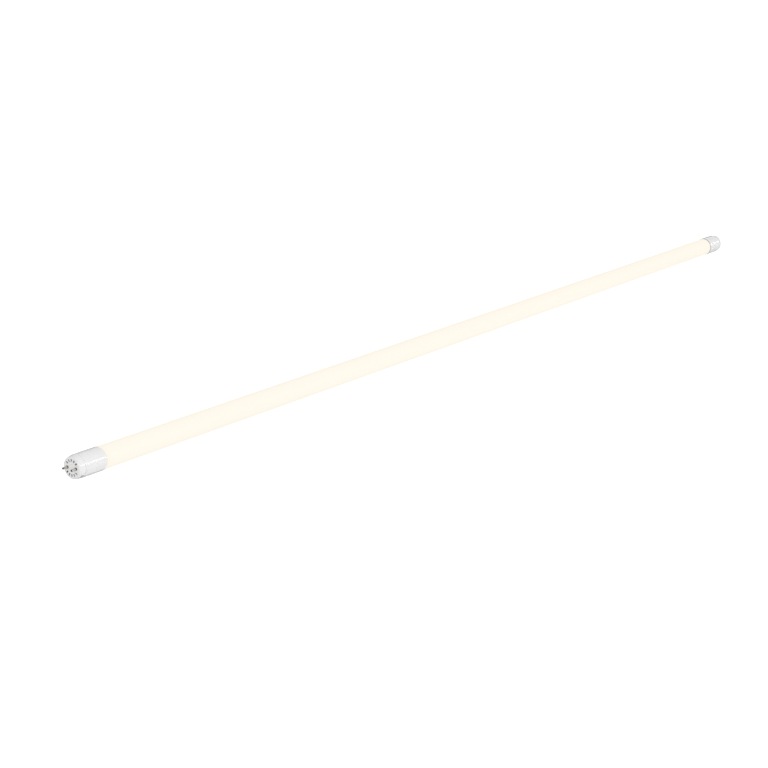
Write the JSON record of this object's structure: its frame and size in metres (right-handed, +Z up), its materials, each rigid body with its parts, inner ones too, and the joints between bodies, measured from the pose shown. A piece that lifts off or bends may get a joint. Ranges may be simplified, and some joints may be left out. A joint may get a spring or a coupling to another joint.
{
  "type": "led tube",
  "caption": "Straight LED tube lamp: frosted glass diffuser, grey end caps with vented faces and two-pin ends that turn for aiming.",
  "frame": {"origin": "middle of the lamp, on the tube's axis", "axes": "+X along the tube towards the far cap, +Z up, the way the LEDs shine; the near cap is at -X"},
  "size_m": [1.5134, 0.0272, 0.0272],
  "materials": {
    "frosted_glass": "white diffusing coat inside, lit warm white",
    "cap_plastic": "semi-gloss light grey",
    "pin_metal": "nickel-plated, slightly tarnished",
    "silicone": "matt white silicone",
    "strip_board": "white solder mask",
    "led_body": "white moulded",
    "phosphor": "yellow phosphor",
    "circuit_board": "green solder mask",
    "insulating_film": "milky film",
    "capacitor_can": "black sleeve",
    "ferrite": "dark ferrite",
    "copper_wire": "enamelled copper",
    "varistor_coat": "blue epoxy coat",
    "chip_mould": "black moulding",
    "resistor_coat": "blue-grey coat",
    "wire_insulation": "white silicone wire"
  },
  "bodies": {
    "lamp": {"diffuser_tube": "frosted_glass", "led_board": "strip_board", "board_adhesive": "silicone", "led_packages": "led_body", "led_phosphor": "phosphor", "led_supply_leads": "wire_insulation", "driver_board": "circuit_board", "driver_sleeve": "insulating_film", "smoothing_capacitor": "capacitor_can", "choke_core": "ferrite", "choke_winding": "copper_wire", "varistor": "varistor_coat", "bridge_rectifier": "chip_mould", "controller_chip": "chip_mould", "freewheel_diode": "chip_mould", "fuse_resistor": "resistor_coat", "near_pin_leads": "wire_insulation", "near_cap_sleeve": "cap_plastic", "near_cap_adhesive": "silicone", "far_cap_sleeve": "cap_plastic", "far_cap_adhesive": "silicone"},
    "near_carrier": {"near_pin_carrier": "cap_plastic", "near_contact_pins": "pin_metal"},
    "far_carrier": {"far_pin_carrier": "cap_plastic", "far_contact_pins": "pin_metal", "far_pin_link": "wire_insulation"}
  },
  "joints": [
    {"name": "near_carrier_turn", "type": "hinge", "parent": "lamp", "child": "near_carrier", "pos_m": [-0.74975, 0, 0], "axis": [1, 0, 0], "range_deg": [-90, 90], "deforming": ["near_pin_leads"]},
    {"name": "far_carrier_turn", "type": "hinge", "parent": "lamp", "child": "far_carrier", "pos_m": [0.74975, 0, 0], "axis": [1, 0, 0], "range_deg": [-90, 90]}
  ]
}
